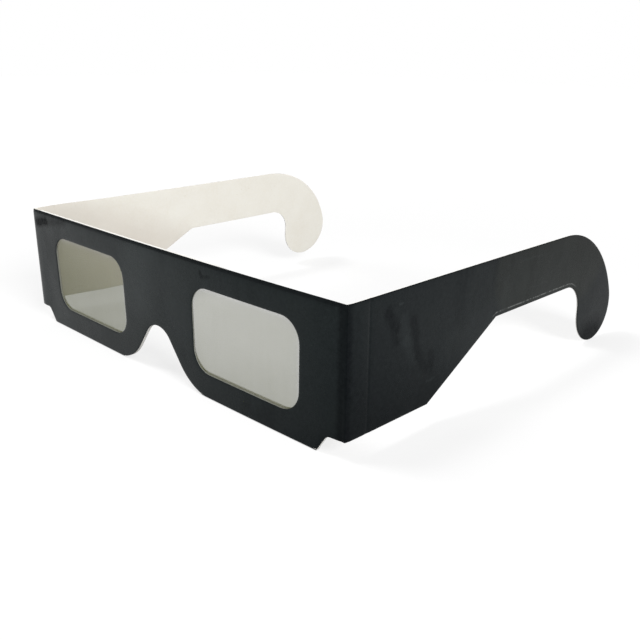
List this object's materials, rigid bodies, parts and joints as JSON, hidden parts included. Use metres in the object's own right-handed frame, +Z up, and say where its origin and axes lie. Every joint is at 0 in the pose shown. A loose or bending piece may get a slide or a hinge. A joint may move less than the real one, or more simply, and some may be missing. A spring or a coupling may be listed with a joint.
{
  "type": "paper stereoscopic glasses",
  "caption": "Folded black paperboard glasses with grey lens films glued into the front, and temples that fold on scored creases and end in ear hooks.",
  "frame": {"origin": "on the surface that the glasses stand on, in the middle of their width and length", "axes": "+X to the wearer's left, -Y the way the wearer looks, +Z up"},
  "size_m": [0.14, 0.1308, 0.038],
  "materials": {
    "paperboard": "uncoated cream inner face, black printed outer face",
    "gloss_black": "clear gloss film over black print",
    "lens_grey": "smooth grey film",
    "glue": "dried adhesive"
  },
  "bodies": {
    "front": {"front_board": "paperboard", "front_laminate": "gloss_black", "left_bottom_fold": "gloss_black", "right_bottom_fold": "gloss_black", "rear_flap_board": "paperboard", "rear_flap_laminate": "gloss_black", "lens_glue": "glue", "left_lens_film": "lens_grey", "right_lens_film": "lens_grey", "left_crease": "gloss_black", "right_crease": "gloss_black"},
    "left_temple": {"left_temple_board": "paperboard", "left_temple_laminate": "gloss_black"},
    "right_temple": {"right_temple_board": "paperboard", "right_temple_laminate": "gloss_black"}
  },
  "joints": [
    {"name": "left_fold", "type": "hinge", "parent": "front", "child": "left_temple", "pos_m": [0.06907, -0.06452, 0.019], "axis": [0, 0, 1], "range_deg": [-90, 90], "deforming": ["left_crease"]},
    {"name": "right_fold", "type": "hinge", "parent": "front", "child": "right_temple", "pos_m": [-0.06907, -0.06452, 0.019], "axis": [0, 0, -1], "range_deg": [-94, 79.5], "deforming": ["right_crease"]}
  ]
}
